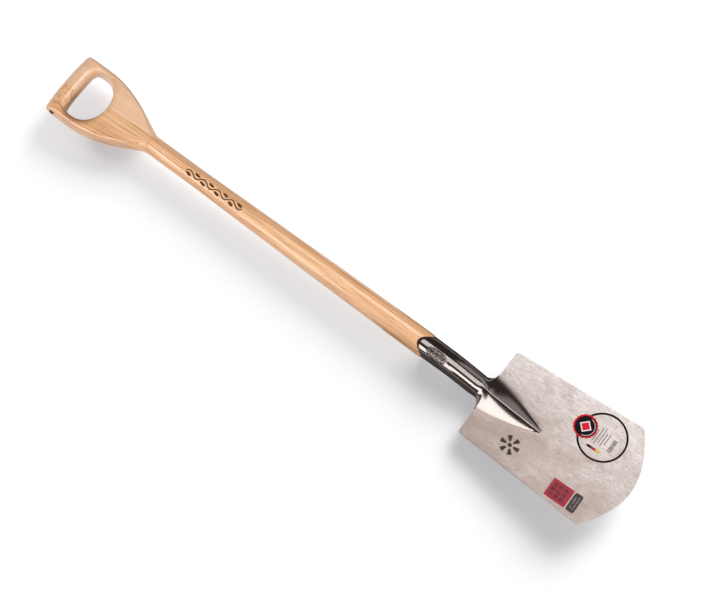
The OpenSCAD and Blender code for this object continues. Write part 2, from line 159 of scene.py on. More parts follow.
view = dict(at=(0.4035, -1.2189, 3.6986), turn=(17.965, -6.492, 36.049), lens=121.3, sensor=36, reach=60)
bpy.ops.object.camera_add(location=view["at"], rotation=[math.radians(a) for a in view["turn"]])
camera = named("camera")
camera.data.lens = view["lens"]
camera.data.sensor_width = view["sensor"]
camera.data.clip_end = view["reach"]
bpy.context.scene.camera = camera
bpy.context.scene.view_settings.view_transform = "Standard"
print("camera set")


# blade: one pressing from the tongue of the socket to the tip

def socketRadius(x):
    return lerp(press["mouthWidth"], press["throatWidth"], clamp(1 + x / press["socketLength"], 0, 1)) / 2


def socketMid(x):  # the tube dips towards the neck
    return -press["dip"] * ease(1 - x / press["tenonEnd"])


neckHalf = press["throatWidth"] / 2 + press["neckRadius"]


def neckEdge(x):  # the concave curve from the tube out to the shoulders
    r = press["neckRadius"]
    return socketRadius(x) + (0 if x < -r else r - math.sqrt(max(0, r * r - (x + r) ** 2)))


def neckBlend(x):
    return ease(1 + x / press["blend"])


def bladeHalf(x):
    return lerp(press["shoulderWidth"], press["bottomWidth"], x / (press["length"] - press["bottomBow"])) / 2


def sheetZ(x, y):  # the dished and cranked sheet, without its ridge
    dish = lerp(press["dishTop"], press["dishTip"], clamp(x / press["length"], 0, 1))
    slope = math.tan(math.radians(press["crank"]))
    return -press["drop"] + x * slope + dish * (y / bladeHalf(max(x, 0))) ** 2


leastWidth = 0.01  # no width that divides another comes down to nought


def ridgeHalf(x):
    return max(neckHalf * (1 - clamp(x / press["ridgeLength"], 0, 1) ** press["ridgeTaper"]), leastWidth)


def crestZ(x):
    if x <= 0:
        return socketMid(x) + socketRadius(x)
    t = 1 - (1 - clamp(x / press["ridgeLength"], 0, 1)) ** press["crestFall"]
    return lerp(socketMid(0) + press["throatWidth"] / 2, sheetZ(press["ridgeLength"], 0), t)


def crestY(x):
    r = press["neckRadius"]
    return -press["ridgeLean"] * ease((x + r * press["leanStart"]) / (r * press["leanRun"]))


def footY(x):
    return -press["ridgeLean"] * ease(x / press["ridgeLength"])


def ridgeQ(x, y):  # 0 along the crest, 1 at the foot of the ridge
    r, d = press["crestRadius"], y - crestY(x)
    side = -1 if d < 0 else 1
    return (math.sqrt(d * d + r * r) - r) / max(ridgeHalf(x) + side * (footY(x) - crestY(x)), leastWidth)


def frontZ(x, y):
    z = sheetZ(x, y)
    if x >= press["ridgeLength"]:
        return z
    q = ridgeQ(x, y)
    f = 1 - press["faceSlope"] * q - press["faceCurve"] * q * q
    return z + (crestZ(x) - sheetZ(x, 0)) * (f + math.sqrt(f * f + press["footSoft"])) / 2


def neckFront(x, s):  # s runs from -1 at the left edge to 1 at the right
    b = neckBlend(x)
    y = neckEdge(x) * lerp(sinDeg(90 * s), s, b) + crestY(x) * (1 - abs(s)) * b
    return x, y, lerp(socketMid(x) + socketRadius(x) * cosDeg(90 * s), frontZ(x, y), b)


# the pressing's grid: columns on each side and across the neck, the rows where each stretch ends,
# how unevenly each stretch is spread, and how finely it is all cut
sideCols, neckCols = 8, 28
bendRow, roundRow, splitRow, lastRow = 4, 11, 17, 37
socketSpread, sheetSpread, crestSpread = 0.8, 1.1, 1.35
sideCuts, crestCuts, rowCuts = 2, 32, 4


def columnS(j):
    return (j - sideCols) * 2 / neckCols - 1


def fanHalf(x):
    end = press["ridgeLength"] * press["fanStart"]
    return ridgeHalf(min(x, end)) + max(0, x - end) * press["fanSpread"]


def fanY(x, side):
    return footY(x) + side * fanHalf(x)


def columnY(j, x):
    if j < sideCols:
        return lerp(fanY(x, -1), -bladeHalf(x), sinDeg(90 * (sideCols - j) / sideCols))
    k = j - sideCols - neckCols
    if k > 0:
        return lerp(fanY(x, 1), bladeHalf(x), sinDeg(90 * k / sideCols))
    s = columnS(j)
    return lerp(crestY(x), fanY(x, -1 if s < 0 else 1), abs(s))


def corner(d, r):  # how far a rounded corner draws back, d into it
    return 0 if d <= 0 else r - math.sqrt(max(0, r * r - d * d))


def bottomEdge(y):
    half = press["bottomWidth"] / 2
    bow = press["bottomBow"] * (abs(y) / half) ** press["bowPower"]
    return press["length"] - bow - corner(abs(y) - half + press["tipInset"], press["tipRadius"])


def tongueReach(angle, half):  # angle in degrees round the tube
    a = 90 * (angle + press["tongueTurn"]) / half
    return press["tongue"] * cosDeg(a) ** press["tonguePower"] if abs(a) < 90 else 0


def rowX(i, s):
    if i <= bendRow:
        return lerp(-press["socketLength"] - tongueReach(90 * s, press["tongueHalf"]), press["tenonEnd"],
                    (i / bendRow) ** socketSpread)
    if i <= roundRow:
        return lerp(press["tenonEnd"], -press["neckRadius"], (i - bendRow) / (roundRow - bendRow))
    return press["neckRadius"] * (sinDeg(90 * clamp((i - roundRow) / (splitRow - roundRow), 0, 1)) - 1)


def pressAt(i, j):  # the front of the sheet at one row and column
    if i < splitRow:
        s = clamp(columnS(j), -1, 1)
        return neckFront(rowX(i, s), s)
    u = ((i - splitRow) / (lastRow - splitRow)) ** sheetSpread
    r = press["cornerRadius"]
    topX = corner(abs(columnY(j, 0)) - press["shoulderWidth"] / 2 + r, r)
    endX = press["length"] - press["bottomBow"]
    for guess in range(3):  # the edge depends on the column, and the column on the edge
        endX = bottomEdge(columnY(j, endX))
    x = lerp(topX, endX, u)
    y = columnY(j, x)
    return x, y, frontZ(x, y)


# the columns lie closer together along the crest of the ridge
columnMarks = [k / sideCuts for k in range(sideCols * sideCuts)]
for k in range(-crestCuts, crestCuts + 1):
    apart = math.copysign(abs(k / crestCuts) ** crestSpread, k)
    columnMarks.append(sideCols + neckCols / 2 * (1 + apart))
columnMarks += [sideCols + neckCols + k / sideCuts for k in range(1, sideCols * sideCuts + 1)]
rowMarks = [k / rowCuts for k in range(lastRow * rowCuts + 1)]

bpy.ops.mesh.primitive_grid_add(x_subdivisions=len(rowMarks) - 1, y_subdivisions=len(columnMarks) - 1, size=1)
blade = named("bladePressing")
bpy.ops.object.mode_set(mode="EDIT")
bpy.ops.mesh.select_mode(type="FACE")
bpy.ops.mesh.select_all(action="DESELECT")
bm = bmesh.from_edit_mesh(blade.data)
for face in bm.faces:  # beside the socket there is no sheet
    at = face.calc_center_median()
    row = rowMarks[int((at.x + 0.5) * (len(rowMarks) - 1))]
    col = columnMarks[int((at.y + 0.5) * (len(columnMarks) - 1))]
    face.select_set(row < splitRow and not sideCols <= col < sideCols + neckCols)
bmesh.update_edit_mesh(blade.data)
bpy.ops.mesh.delete(type="FACE")
bpy.ops.object.mode_set(mode="OBJECT")
for v in blade.data.vertices:
    i = rowMarks[round((v.co.x + 0.5) * (len(rowMarks) - 1))]
    j = columnMarks[round((v.co.y + 0.5) * (len(columnMarks) - 1))]
    v.co = place(pressAt(i, j))
applyMod(blade, "SOLIDIFY", thickness=press["sheet"] / 1000, offset=-1, use_even_offset=True)
applyMod(blade, "BEVEL", width=press["rimBevel"] / 1000, segments=2, limit_method="ANGLE",
         angle_limit=math.radians(press["rimAngle"]))
smoothTo(blade, press["smoothAngle"])


# where the polish of the ridge begins to fade on each face and over how much of it, and how far short
# of the ridge's end it stops
polishFade = dict(left=(0.74, 0.22), right=(0.62, 0.38), short=3)


def polishAt(x, y):
    if x < 0:
        return 1
    start, fade = polishFade["left"] if y < crestY(x) else polishFade["right"]
    return 1 - ease((ridgeQ(x, y) - start) / fade) if x < press["ridgeLength"] - polishFade["short"] else 0


polish = blade.data.attributes.new("polish", "FLOAT", "POINT")
for v, value in zip(blade.data.vertices, polish.data):
    value.value = polishAt((v.co.x - originX) * 1000, v.co.y * 1000)
print("blade pressed:", len(blade.data.polygons), "faces")


# the wooden parts

wood = dict(
    gripWidth=112, gripLength=176, gripThick=31, barWidth=31.5, barBow=3, flareLength=126,
    flarePower=1.12, thickRun=36, edgeRun=60, edgeRadius=5, cornerRadius=2.5, buttEdge=0.5,
    holeWidth=90, holeLength=52, holeNose=16.8, nosePower=0.42, rollSpare=0.5, holeBow=0.6,
    wristWidth=31.8, wristLength=92, sliver=0.02, stub=22, join=14, shaftWidth=42.6, shaftPower=1.35,
    fullBefore=20, glueAngle=4.4, glueRun=6, glueShift=1, glueCross=40, gap=0.3, tenonBevel=3,
    overall=1126, voxel=1.15, smoothAngle=35,
)
buttX = press["length"] - wood["overall"]
wristX = buttX + wood["gripLength"]
wristR = wood["wristWidth"] / 2
barX = buttX + wood["barWidth"] / 2
halfThick = wood["gripThick"] / 2
halfWide = wood["gripWidth"] / 2
holeX = buttX + wood["barWidth"] + wood["holeNose"]
taperX = wristX + wood["wristLength"]
mouthX = -press["socketLength"]


def glueY(x):  # the glue line crosses the axis at a small angle
    return wood["glueShift"] + (x - holeX - wood["glueCross"]) * math.tan(math.radians(wood["glueAngle"]))


def flare(x):
    t = clamp((wristX - x) / wood["flareLength"], 0, 1)
    return wristR + (halfWide - wristR) * sinDeg(90 * t) ** wood["flarePower"]


def shaftRadius(x):
    t = clamp((x - taperX) / (mouthX - wood["fullBefore"] - taperX), 0, 1)
    return lerp(wristR, wood["shaftWidth"] / 2, 1 - (1 - t) ** wood["shaftPower"])


def tenonRadius(x):
    return socketRadius(x) - press["sheet"] - wood["gap"]


# the grip's rings: points round each corner and along the top and bottom, and the largest share of
# a side that its rounding takes; then the rows where the flare, the bar and the butt end
corners, flats, roundShare = 12, 10, 0.98
flareRow, barRow, fineRow, buttRow = 17, 19, 25, 28


def section(hw, ht, r):  # a rounded oblong, from its half width and half thickness
    c = min(r, ht * roundShare, hw * roundShare)
    ring = []
    for quarter, (sy, sz) in enumerate([(1, 1), (-1, 1), (-1, -1), (1, -1)]):
        for k in range(corners):
            a = 90 * quarter + 90 * k / (corners - 1)
            ring.append((sy * (hw - c) + c * cosDeg(a), sz * (ht - c) + c * sinDeg(a)))
        if quarter in (0, 2):
            for k in range(1, flats):
                ring.append((lerp(sy * (hw - c), -sy * (hw - c), k / flats), sz * ht))
    return ring


def paddleRow(i):
    # place along the axis, half width, half thickness, edge radius and share of the bow
    if i <= flareRow:
        start = wristX + wood["glueRun"]
        x = lerp(start, wristX - wood["flareLength"], (i - 1) / (flareRow - 1))
        ht = lerp(wristR - wood["sliver"], halfThick, ease((wristX - x) / wood["thickRun"]))
        edge = lerp(wristR, wood["edgeRadius"], ease((start - x) / wood["edgeRun"]))
        return x, max(flare(x), ht), ht, edge, 0
    if i <= barRow:
        t = (i - flareRow) / (barRow - flareRow)
        return lerp(wristX - wood["flareLength"], barX, t), halfWide, halfThick, wood["edgeRadius"], t
    a, r, halfBar = 90 * (i - barRow) / (buttRow - barRow), wood["cornerRadius"], wood["barWidth"] / 2
    return (barX - halfBar * sinDeg(a), halfWide - corner(r - halfBar * (1 - sinDeg(a)), r),
            max(halfThick * cosDeg(a), wood["buttEdge"]), wood["edgeRadius"], 1)


def loft(name, rings):
    # a filled circle is extruded once for each ring, and each new ring is put to its outline
    bpy.ops.mesh.primitive_circle_add(vertices=len(rings[0]), radius=0.01, fill_type="NGON")
    obj = named(name)
    order = obj.data.attributes.new("order", "INT", "POINT")
    for k, (v, value) in enumerate(zip(obj.data.vertices, order.data)):
        v.co = rings[0][k]
        value.value = k
    bpy.ops.object.mode_set(mode="EDIT")
    bpy.ops.mesh.select_all(action="SELECT")
    for ring in rings[1:]:
        bpy.ops.mesh.extrude_region_move()
        bm = bmesh.from_edit_mesh(obj.data)
        layer = bm.verts.layers.int["order"]
        for v in bm.verts:
            if v.select:
                v.co = ring[v[layer]]
        bmesh.update_edit_mesh(obj.data)
    bpy.ops.mesh.select_all(action="SELECT")
    bpy.ops.mesh.normals_make_consistent(inside=False)
    bpy.ops.object.mode_set(mode="OBJECT")
    return obj


def paddleRing(row):
    x, hw, ht, edge, bow = row
    return [place((x + bow * wood["barBow"] * (y / halfWide) ** 2, y, z)) for y, z in section(hw, ht, edge)]


paddleRows = [(wristX + wood["stub"], wristR, wristR - wood["sliver"], wristR, 0)]
paddleRows += [paddleRow(1 + k / 2) for k in range(2 * (fineRow - 1))]
paddleRows += [paddleRow(fineRow + k / 4) for k in range(4 * (buttRow - fineRow) + 1)]
paddle = loft("paddle", [paddleRing(row) for row in paddleRows])


def holeEdge(a):
    c, s = cosDeg(a), sinDeg(a)
    rx, p = (wood["holeLength"] - wood["holeNose"], 1) if c > 0 else (wood["holeNose"], wood["nosePower"])
    return math.copysign(rx * abs(c) ** p, c), math.copysign(wood["holeWidth"] / 2 * abs(s) ** p, s)


# the hand hole's cutter: sides, rows, how far it stands proud, a small turn that keeps its points off
# the paddle's own, and the step in degrees that finds the edge's direction
holeSides, holeRows, holeProud, holeTurn, holeStep = 96, 24, 1, 0.01, 0.5


def holePoint(a, z):
    # the wall of the hole rolls over into both faces, most of all at the bar
    p, before, after = holeEdge(a), holeEdge(a - holeStep), holeEdge(a + holeStep)
    tx, ty = after[0] - before[0], after[1] - before[1]
    size = math.hypot(tx, ty)
    mx, my = ty / size, -tx / size
    fullRoll = min(wood["barWidth"], wood["gripThick"]) / 2 - wood["rollSpare"]
    r = lerp(wood["edgeRadius"], fullRoll, max(0, -mx) ** 2)
    over = clamp(abs(z) - (halfThick - r), 0, r)
    o = r - math.sqrt(r * r - over * over)
    bow = wood["barBow"] * (p[1] / halfWide) ** 2 * ease(-p[0] / wood["holeNose"]) * wood["holeBow"]
    return place((holeX + p[0] + mx * o + bow, p[1] + my * o, z))


def holeRing(k):
    z = (halfThick + holeProud) * sinDeg(lerp(90, -90, k / holeRows))
    return [holePoint(360 * j / holeSides + holeTurn, z) for j in range(holeSides)]


cutWith(paddle, loft("holeCutter", [holeRing(k) for k in range(holeRows + 1)]))

# an even skin is laid over the exact shape, so that the sanded surfaces shade cleanly
ash = copyOf(paddle, "ashShaft")
applyMod(ash, "REMESH", mode="VOXEL", voxel_size=wood["voxel"] / 1000)
applyMod(ash, "SMOOTH", factor=0.5, iterations=6)
applyMod(ash, "SHRINKWRAP", target=paddle, wrap_method="NEAREST_SURFACEPOINT")
applyMod(ash, "SMOOTH", factor=0.35, iterations=2)
bpy.data.objects.remove(paddle)
print("grip shaped:", len(ash.data.polygons), "faces")

# the round shaft grows out of the wrist's open end
grab(ash)
bpy.ops.object.mode_set(mode="EDIT")
bpy.ops.mesh.select_all(action="SELECT")
joinX = wristX + wood["join"]
bpy.ops.mesh.bisect(plane_co=place((joinX, 0, 0)), plane_no=(1, 0, 0), clear_outer=True, clear_inner=False)
bpy.ops.mesh.select_all(action="DESELECT")
bpy.ops.mesh.select_mode(type="EDGE")
bm = bmesh.from_edit_mesh(ash.data)
for edge in bm.edges:
    edge.select_set(edge.is_boundary)
bmesh.update_edit_mesh(ash.data)
evenStep, evenRings, taperRings = 9, 8, 50  # rings behind the wrist, then along the taper
rebateX = mouthX - wood["gap"]
shaftXs = [joinX + k * evenStep for k in range(1, evenRings + 1)]
shaftXs += [lerp(taperX, rebateX, k / taperRings) for k in range(taperRings + 1)]
tenonX, bevel = press["tenonEnd"], wood["tenonBevel"]
shaftRows = [(joinX, wristR)] + [(x, shaftRadius(x)) for x in shaftXs]
shaftRows += [(rebateX, tenonRadius(mouthX)), (tenonX - bevel, tenonRadius(tenonX)),
              (tenonX, tenonRadius(tenonX) - bevel)]
for x, radius in shaftRows:
    if x > joinX:
        bpy.ops.mesh.extrude_edges_move()
    bm = bmesh.from_edit_mesh(ash.data)
    for v in bm.verts:
        if v.select:
            out = Vector((0, v.co.y, v.co.z - originZ)).normalized() * radius / 1000
            v.co = place((x, 0, 0)) + out
    bmesh.update_edit_mesh(ash.data)
bpy.ops.mesh.edge_face_add()
bpy.ops.mesh.select_all(action="SELECT")
bpy.ops.mesh.normals_make_consistent(inside=False)
bpy.ops.object.mode_set(mode="OBJECT")
print("shaft turned:", len(ash.data.polygons), "faces")

# the cheek is sawn off along the glue line
sawBox = dict(past=10, half=60)  # how far it reaches past the butt, and up and down
bpy.ops.mesh.primitive_cube_add(size=1)
sawn = named("sawn")
for v in sawn.data.vertices:
    x = wristX + wood["glueRun"] if v.co.x > 0 else buttX - sawBox["past"]
    y = glueY(x) if v.co.y < 0 else wood["gripWidth"]
    v.co = place((x, y, math.copysign(sawBox["half"], v.co.z)))
cheek = copyOf(ash, "ashCheek")
cutWith(cheek, sawn, "INTERSECT", keepCutter=True)
cutWith(ash, sawn)

# the tongue of the socket lies in a recess in the front of the shaft
# degrees for the gap at the sides, cuts along the outline, then the cutter's overlap, height and core
room = dict(spare=230, cuts=28, over=1, high=42, coreSides=96, coreLength=160)
recessHalf = press["tongueHalf"] + room["spare"] * wood["gap"] / press["mouthWidth"]
outline = []
for k in range(-room["cuts"], room["cuts"] + 1):
    a = recessHalf * k / room["cuts"] - press["tongueTurn"]
    reach = tongueReach(a, recessHalf) * (1 + wood["gap"] / press["tongue"])
    outline.append((mouthX - reach, (press["mouthWidth"] / 2 + wood["gap"]) * sinDeg(a)))
backX = mouthX + room["over"]
outline = [(backX, outline[0][1])] + outline + [(backX, outline[-1][1])]
recess = loft("recess", [[place((x, y, z)) for x, y in outline] for z in (0, room["high"])])
bpy.ops.mesh.primitive_cylinder_add(vertices=room["coreSides"], radius=tenonRadius(mouthX) / 1000,
                                    depth=room["coreLength"] / 1000, location=place((mouthX, 0, 0)),
                                    rotation=(0, math.pi / 2, 0))
core = named("core")
cutWith(recess, core)
cutWith(ash, recess)
smoothTo(ash, wood["smoothAngle"])
smoothTo(cheek, wood["smoothAngle"])

# the painted shade round the hole, as a share of the hole's size, how dark it stays on the right, over how
# many millimetres it darkens to the left, how square it is at the bar, and the width of the painted shade
# along the right edge
holeShade = dict(band=0.34, least=0.3, across=50, barPower=4, edge=5)
# how much the grain spreads with the grip's outline, and where it starts, past the wrist
grain = dict(ash=0.75, cheek=0.0, start=8)


def paintedShadeAt(x, y):
    # painted shade darkens the wood round the hole, most in its left corner, and along the right edge
    dx, across = x - holeX, y / wood["holeWidth"] * 2
    power, along = 2, dx / (wood["holeLength"] - wood["holeNose"])
    if dx < 0:
        power, along = holeShade["barPower"], dx / wood["holeNose"]
    reach = (abs(along) ** power + abs(across) ** power) ** (1 / power)
    left = lerp(holeShade["least"], 1, ease(0.5 - (y + dx) / holeShade["across"]))
    hole = left * ease(1 - (reach - 1) / holeShade["band"])
    return max(hole, ease(1 - (flare(x) - y) / holeShade["edge"])) if x < wristX else 0


def grainAndPaintedShade(obj, amount):  # the grain spreads with the grip's outline
    obj.data.attributes.new("paintedShade", "FLOAT", "POINT")
    layer = obj.data.attributes.new("grain", "FLOAT_VECTOR", "POINT")
    for v, value, dark in zip(obj.data.vertices, layer.data, obj.data.attributes["paintedShade"].data):
        x, y, z = (v.co.x - originX) * 1000, v.co.y * 1000, (v.co.z - originZ) * 1000
        spread = (flare(x) / wristR) ** amount if x < wristX + grain["start"] else 1
        value.vector = (x / 1000, y / 1000 / spread, z / 1000)
        # painted shade round the hand hole and along the grip's right edge, kept beside the grain
        dark.value = paintedShadeAt(x, y)


grainAndPaintedShade(ash, grain["ash"])
grainAndPaintedShade(cheek, grain["cheek"])
print("wood cut:", len(ash.data.polygons), "and", len(cheek.data.polygons), "faces")


# parts that keep their frame shape, with a smooth skin

def smoothTwin(node, name, degrees=30):
    twin = copyOf(nodes[node], name)
    twin.parent = None
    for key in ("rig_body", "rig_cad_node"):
        if key in twin:
            del twin[key]
    twin.data.materials.clear()
    grab(twin)
    bpy.ops.object.mode_set(mode="EDIT")
    bpy.ops.mesh.select_all(action="SELECT")
    bpy.ops.mesh.remove_doubles(threshold=0.000002)
    bpy.ops.object.mode_set(mode="OBJECT")
    smoothTo(twin, degrees)
    return twin


strap = smoothTwin("back_strap", "backStrap", 35)
pin = smoothTwin("grip_pin", "gripPin")
upperScrew = smoothTwin("screw_upper", "upperScrew")
lowerScrew = smoothTwin("screw_lower", "lowerScrew")
roundFilm = smoothTwin("ring_label", "roundFilm")
seal = smoothTwin("seal_label", "scallopedSeal")
squareFilm = smoothTwin("square_label", "squareFilm")
stripFilm = smoothTwin("strip_label", "stripFilm")
print("small parts smoothed")


# materials

def tone(r, g, b):  # a colour as written, turned into what the shaders take
    return tuple(((c / 255 + 0.055) / 1.055) ** 2.4 if c > 10 else c / 255 / 12.92 for c in (r, g, b)) + (1,)


class Recipe:
    # a short way to lay out the nodes of one material, or of the sky
    def __init__(self, name, owner=None):
        self.mat = owner or bpy.data.materials.new(name)
        self.mat.use_nodes = True
        self.tree = self.mat.node_tree
        self.shader = self.tree.nodes.get("Principled BSDF")

    def add(self, kind, inputs=None, **settings):
        node = self.tree.nodes.new("ShaderNode" + kind)
        for key, value in settings.items():
            setattr(node, key, value)
        for key, value in (inputs or {}).items():
            self.feed(node, key, value)
        return node

    def feed(self, node, key, value):
        if isinstance(value, bpy.types.NodeSocket):
            self.tree.links.new(value, node.inputs[key])
        else:
            node.inputs[key].default_value = value

    def finish(self, **inputs):
        for key, value in inputs.items():
            self.feed(self.shader, key.replace("_", " "), value)
        return self.mat

    def math(self, operation, a, b=0.0, clampIt=False):
        return self.add("Math", {0: a, 1: b}, operation=operation, use_clamp=clampIt).outputs[0]

    def both(self, a, b):
        return self.math("MULTIPLY", a, b)

    def either(self, a, b):
        return self.math("MAXIMUM", a, b)

    def noise(self, vector, scale, detail, rough):
        inputs = {"Vector": vector, "Scale": scale, "Detail": detail, "Roughness": rough}
        return self.add("TexNoise", inputs).outputs[0]

    def pattern(self, vector, stretch, shift, detail, rough):
        drawn = self.add("Mapping", {"Vector": vector, "Scale": stretch, "Location": shift}).outputs[0]
        return self.noise(drawn, 1.0, detail, rough)

    def span(self, value, lo, hi, toLo=0.0, toHi=1.0):
        return self.add("MapRange", {0: value, 1: lo, 2: hi, 3: toLo, 4: toHi}).outputs[0]

    def blend(self, factor, a, b):
        return self.add("Mix", {0: factor, 6: a, 7: b}, data_type="RGBA").outputs[2]

    def layers(self, colour, coats):
        # each coat: its pattern, where it starts and is full, how strong it gets, and its tone
        for drawn, lo, hi, most, paint in coats:
            colour = self.blend(self.span(drawn, lo, hi, 0, most), colour, tone(*paint))
        return colour

    def bump(self, height, strength, distance, normal=None):
        inputs = {"Height": height, "Strength": strength, "Distance": distance}
        if normal:
            inputs["Normal"] = normal
        return self.add("Bump", inputs).outputs[0]


def flatCoords(m, cx, cy):
    # millimetres along and across the spade, counted from a point on its axis
    at = m.add("TexCoord").outputs["Object"]
    spot = place((cx, cy, 0))
    local = m.add("VectorMath", {0: at, 1: tuple(spot)}, operation="SUBTRACT").outputs[0]
    local = m.add("VectorMath", {0: local, "Scale": 1000.0}, operation="SCALE").outputs[0]
    parts = m.add("SeparateXYZ", {0: local})
    return parts.outputs[0], parts.outputs[1]


softEdge = 0.15  # millimetres over which a drawn edge fades


def within(m, value, lo, hi, soft=softEdge):
    return m.both(m.span(value, lo - soft, lo + soft), m.span(value, hi - soft, hi + soft, 1, 0))


def radiusOf(m, x, y):
    return m.math("SQRT", m.math("ADD", m.both(x, x), m.both(y, y)))


def boxMask(m, x, y, box, soft=softEdge):
    return m.both(within(m, x, box[0], box[1], soft), within(m, y, box[2], box[3], soft))


# paintedLightTone is the colour of the painted light across the blade
steelTones = dict(
    satin=(233, 220, 214), satinDark=(206, 188, 180), paintedLightTone=(250, 243, 241), smudge=(178, 156, 146),
    polished=(181, 171, 167), stamped=(158, 148, 138), pit=(40, 33, 30), etched=(46, 36, 32),
)
steelGloss = dict(satinMetal=0.52, satinRough=0.46, polishedRough=0.105, polishedDepth=0.06, strapRough=0.22,
                  strapDepth=0.3, brushRough=(-0.03, 0.04), brushDepth=0.00004, padDepth=0.0006)
# each pattern's stretch, shift, detail and roughness
steelPatterns = dict(
    cloud=((9, 15, 15), (0, 0, 0), 4.0, 0.62), patch=((26, 44, 44), (3, 1, 0), 3.0, 0.6),
    brush=((34, 640, 640), (0, 0, 0), 3.0, 0.65), fine=((50, 1800, 1800), (0, 0, 0), 2.0, 0.6),
    speckle=((180, 720, 720), (1, 2, 0), 3.0, 0.6),
)
# painted light: the sheet is painted paler across the blade between these two lines, towards its right side
paintedLightSpan = (-26, 54)  # across the blade the sheet gets paler between these two lines
padOnSocket = dict(at=(-98, -9), half=(21, 8), pits=(420.0, 2.0, 0.6), strength=0.9)
markOnBlade = dict(at=(78.5, -51.5), petals=6.0, petalRing=(6.5, 17), petalSoft=0.6, heart=3.6, heartSoft=0.5)


def stampedPad(m, at):
    # an oval, pitted field pressed into the tube of the socket
    x, y = flatCoords(m, *padOnSocket["at"])
    x = m.math("DIVIDE", x, padOnSocket["half"][0])
    y = m.math("DIVIDE", y, padOnSocket["half"][1])
    return m.span(radiusOf(m, x, y), 0.82, 1.0, 1, 0), m.noise(at, *padOnSocket["pits"])


def etchedMark(m):
    # a plain rosette of six petals
    x, y = flatCoords(m, *markOnBlade["at"])
    r = radiusOf(m, x, y)
    turn = m.math("COSINE", m.both(m.math("ARCTAN2", y, x), markOnBlade["petals"]))
    rings = within(m, r, *markOnBlade["petalRing"], markOnBlade["petalSoft"])
    petals = m.both(rings, m.span(turn, -0.1, 0.3))
    return m.either(petals, within(m, r, -1, markOnBlade["heart"], markOnBlade["heartSoft"]))


def steelMaterial(name, withPolish):
    m = Recipe(name)
    at = m.add("TexCoord").outputs["Object"]
    cloud, patch, brush, fine, speckle = [m.pattern(at, *spec) for spec in steelPatterns.values()]
    satin = m.blend(m.span(cloud, 0.4, 0.62), tone(*steelTones["satin"]), tone(*steelTones["satinDark"]))
    # painted light: the satin sheet is painted paler towards the blade's right side
    across = m.span(flatCoords(m, 0, 0)[1], *paintedLightSpan)
    paintedLight = m.math("ADD", across, m.span(cloud, 0.35, 0.65, 0.25, -0.35), clampIt=True)
    satin = m.blend(paintedLight, satin, tone(*steelTones["paintedLightTone"]))
    satin = m.layers(satin, [(patch, 0.5, 0.74, 0.5, steelTones["smudge"]),
                             (brush, 0.42, 0.66, 0.45, steelTones["smudge"]),
                             (speckle, 0.44, 0.62, 0.38, steelTones["smudge"])])
    if withPolish:
        mask = m.add("Attribute", attribute_name="polish").outputs["Fac"]
        mark = m.both(etchedMark(m), m.span(fine, 0.3, 0.6, 0.8, 1.0))
        satin = m.blend(mark, satin, tone(*steelTones["etched"]))
        colour = m.blend(mask, satin, tone(*steelTones["polished"]))
        rough = m.span(mask, 0, 1, steelGloss["satinRough"], steelGloss["polishedRough"])
        depth = m.span(mask, 0, 1, 1.0, steelGloss["polishedDepth"])
        pad, pits = stampedPad(m, at)
        pitted = m.blend(m.span(pits, 0.4, 0.56), tone(*steelTones["pit"]), tone(*steelTones["stamped"]))
        colour = m.blend(m.both(pad, padOnSocket["strength"]), colour, pitted)
        metal = m.span(mask, 0, 1, steelGloss["satinMetal"], 1.0)
        base = m.bump(m.both(pad, pits), 1.0, steelGloss["padDepth"])
    else:
        colour = tone(*steelTones["polished"])
        rough, depth, metal, base = steelGloss["strapRough"], steelGloss["strapDepth"], 1.0, None
    rough = m.math("ADD", rough, m.span(brush, 0.2, 0.8, *steelGloss["brushRough"]))
    normal = m.bump(m.math("ADD", brush, m.both(fine, 0.4)), depth, steelGloss["brushDepth"], base)
    return m.finish(Base_Color=colour, Metallic=metal, Roughness=rough, Normal=normal)


# each wood's colours; paintedShade is the tone of the painted shade round the hand hole and along the right
# edge
ashTones = dict(
    shaft=dict(light=(247, 202, 160), mid=(234, 180, 132), dark=(192, 130, 80), pore=(150, 94, 54),
               paintedShade=(124, 76, 42), lines=0.66, shift=(0, 0, 0)),
    cheek=dict(light=(243, 204, 171), mid=(231, 186, 150), dark=(216, 166, 122), pore=(196, 148, 104),
               paintedShade=(156, 112, 76), lines=0.36, shift=(0.3, 0.11, 0.2)),
)
# paintedShadeStrength is how far the painted shade darkens the wood
ashGloss = dict(paintedShadeStrength=0.85, drift=0.003, coat=0.8, coatRough=0.28, rough=(0.38, 0.5), relief=0.18,
                reliefDepth=0.0002)
# each pattern's stretch, shift, detail and roughness
ashPatterns = dict(
    broad=((2.4, 55, 55), (0, 0, 0), 3.0, 0.55), streak=((4.5, 400, 400), (0, 0, 0), 4.0, 0.68),
    line=((3.2, 760, 760), (2, 0, 1), 2.0, 0.55), pores=((38, 1700, 1700), (0, 0, 0), 2.0, 0.6),
)
wanderPattern = ((4, 14, 14), (0, 0, 0), 2.0, 0.5)
mottlePattern = ((30, 60, 60), (1, 2, 0), 3.0, 0.55)
vine = dict(at=(-545, -4.5), half=56, step=14, swing=3.2, stem=(0.8, 1.5), leaf=(5.2, 2.4), leafLean=0.9,
            leafEdge=(0.85, 1.05), char=(58, 24, 8), strength=(0.86, 0.98))


